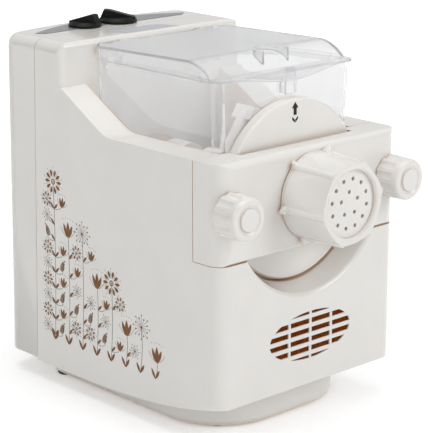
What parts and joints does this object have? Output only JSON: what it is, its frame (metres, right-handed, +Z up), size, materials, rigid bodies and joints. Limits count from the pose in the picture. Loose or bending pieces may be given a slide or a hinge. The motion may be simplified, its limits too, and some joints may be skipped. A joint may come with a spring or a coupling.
{
  "type": "electric pasta maker",
  "caption": "Household electric pasta maker with a clear mixing bowl, hinged lid, front die nozzle and clamp beam.",
  "frame": {"origin": "middle of the footprint, on the table", "axes": "+Z up, -Y towards the user and the nozzle, +X to the right as seen from the front"},
  "size_m": [0.212, 0.3254, 0.3045],
  "materials": {
    "white_gloss_plastic": "gloss",
    "clear_plastic": "gloss",
    "white_tool_plastic": "satin",
    "black_knob_plastic": "satin",
    "grey_panel": "gloss",
    "label_silver": "satin",
    "filter_brown": "matte",
    "rubber_dark": "matte",
    "seal_silicone": "matte",
    "shaft_steel": "satin",
    "zinc_screws": "satin",
    "gear_brass": "satin",
    "plate_aluminium": "satin",
    "motor_iron": "matte",
    "winding_copper": "satin"
  },
  "bodies": {
    "housing": {"main_housing": "white_gloss_plastic", "rear_cover": "white_gloss_plastic", "top_cap": "white_gloss_plastic", "control_plate": "grey_panel", "label_plate": "label_silver", "base_plinth": "white_gloss_plastic", "rubber_feet": "rubber_dark", "vent_filter": "filter_brown", "mixing_bowl": "clear_plastic", "bowl_seal": "seal_silicone", "lid_hinge_pins": "zinc_screws", "stud_sockets": "gear_brass", "shaft_seal": "rubber_dark", "output_bearings": "shaft_steel", "gearbox_front_plate": "plate_aluminium", "gearbox_rear_plate": "plate_aluminium", "gearbox_posts": "plate_aluminium", "gearbox_screws": "zinc_screws", "motor_stator": "motor_iron", "motor_windings": "winding_copper", "motor_end_shields": "plate_aluminium", "motor_cradle": "plate_aluminium", "mode_switch": "white_tool_plastic", "timer_switch": "white_tool_plastic", "cord_gland": "rubber_dark", "rear_cover_screws": "zinc_screws", "plinth_screws": "zinc_screws"},
    "lid": {"lid": "clear_plastic"},
    "front_unit": {"clamp_beam": "white_gloss_plastic", "front_disc": "white_gloss_plastic"},
    "left_clamp": {"left_clamp_knob": "white_gloss_plastic", "left_clamp_stud": "shaft_steel"},
    "right_clamp": {"right_clamp_knob": "white_gloss_plastic", "right_clamp_stud": "shaft_steel"},
    "nozzle_nut": {"die_nut": "white_gloss_plastic"},
    "nozzle_die": {"die": "white_tool_plastic"},
    "mixer": {"auger": "white_tool_plastic", "mixing_paddle": "white_tool_plastic", "drive_shaft": "shaft_steel", "output_gear": "gear_brass"},
    "second_idler": {"second_idler": "shaft_steel"},
    "first_idler": {"first_idler": "shaft_steel"},
    "motor_shaft": {"motor_rotor": "shaft_steel", "motor_pinion": "gear_brass", "cooling_fan": "white_tool_plastic"},
    "mode_knob": {"mode_knob": "black_knob_plastic"},
    "timer_knob": {"timer_knob": "black_knob_plastic"}
  },
  "joints": [
    {"name": "lid_hinge", "type": "hinge", "parent": "housing", "child": "lid", "pos_m": [0, 0.0625, 0.2875], "axis": [-1, 0, 0], "range_deg": [0, 100]},
    {"name": "front_unit_slide", "type": "slide", "parent": "housing", "child": "front_unit", "axis": [0, -1, 0], "range_m": [0, 0.1]},
    {"name": "left_clamp_turn", "type": "hinge", "parent": "front_unit", "child": "left_clamp", "pos_m": [-0.0885, -0.119, 0.1885], "axis": [0, 1, 0], "range_deg": [0, 720]},
    {"name": "right_clamp_turn", "type": "hinge", "parent": "front_unit", "child": "right_clamp", "pos_m": [0.0885, -0.119, 0.1885], "axis": [0, 1, 0], "range_deg": [0, 720]},
    {"name": "die_slide", "type": "slide", "parent": "front_unit", "child": "nozzle_die", "axis": [0, -1, 0], "range_m": [0, 0.05]},
    {"name": "nozzle_nut_turn", "type": "hinge", "parent": "nozzle_die", "child": "nozzle_nut", "pos_m": [0, -0.139, 0.1885], "axis": [0, 1, 0], "range_deg": [0, 360]},
    {"name": "mixer_spin", "type": "hinge", "parent": "housing", "child": "mixer", "pos_m": [0, 0.031, 0.1885], "axis": [0, 1, 0], "continuous": true},
    {"name": "second_idler_spin", "type": "hinge", "parent": "housing", "child": "second_idler", "pos_m": [0, 0.081, 0.1435], "axis": [0, 1, 0], "continuous": true},
    {"name": "first_idler_spin", "type": "hinge", "parent": "housing", "child": "first_idler", "pos_m": [0, 0.081, 0.1039], "axis": [0, 1, 0], "continuous": true},
    {"name": "motor_spin", "type": "hinge", "parent": "housing", "child": "motor_shaft", "pos_m": [0, 0.031, 0.0679], "axis": [0, 1, 0], "continuous": true},
    {"name": "mode_knob_turn", "type": "hinge", "parent": "housing", "child": "mode_knob", "pos_m": [-0.029, 0.1225, 0.2933], "axis": [0, 0, 1], "range_deg": [-45, 45]},
    {"name": "timer_knob_turn", "type": "hinge", "parent": "housing", "child": "timer_knob", "pos_m": [0.007, 0.1225, 0.2933], "axis": [0, 0, 1], "range_deg": [-270, 0]}
  ],
  "couplings": [
    {"joint": "second_idler_spin", "follows": "mixer_spin", "ratio": -3},
    {"joint": "first_idler_spin", "follows": "mixer_spin", "ratio": 9},
    {"joint": "motor_spin", "follows": "mixer_spin", "ratio": -27}
  ]
}
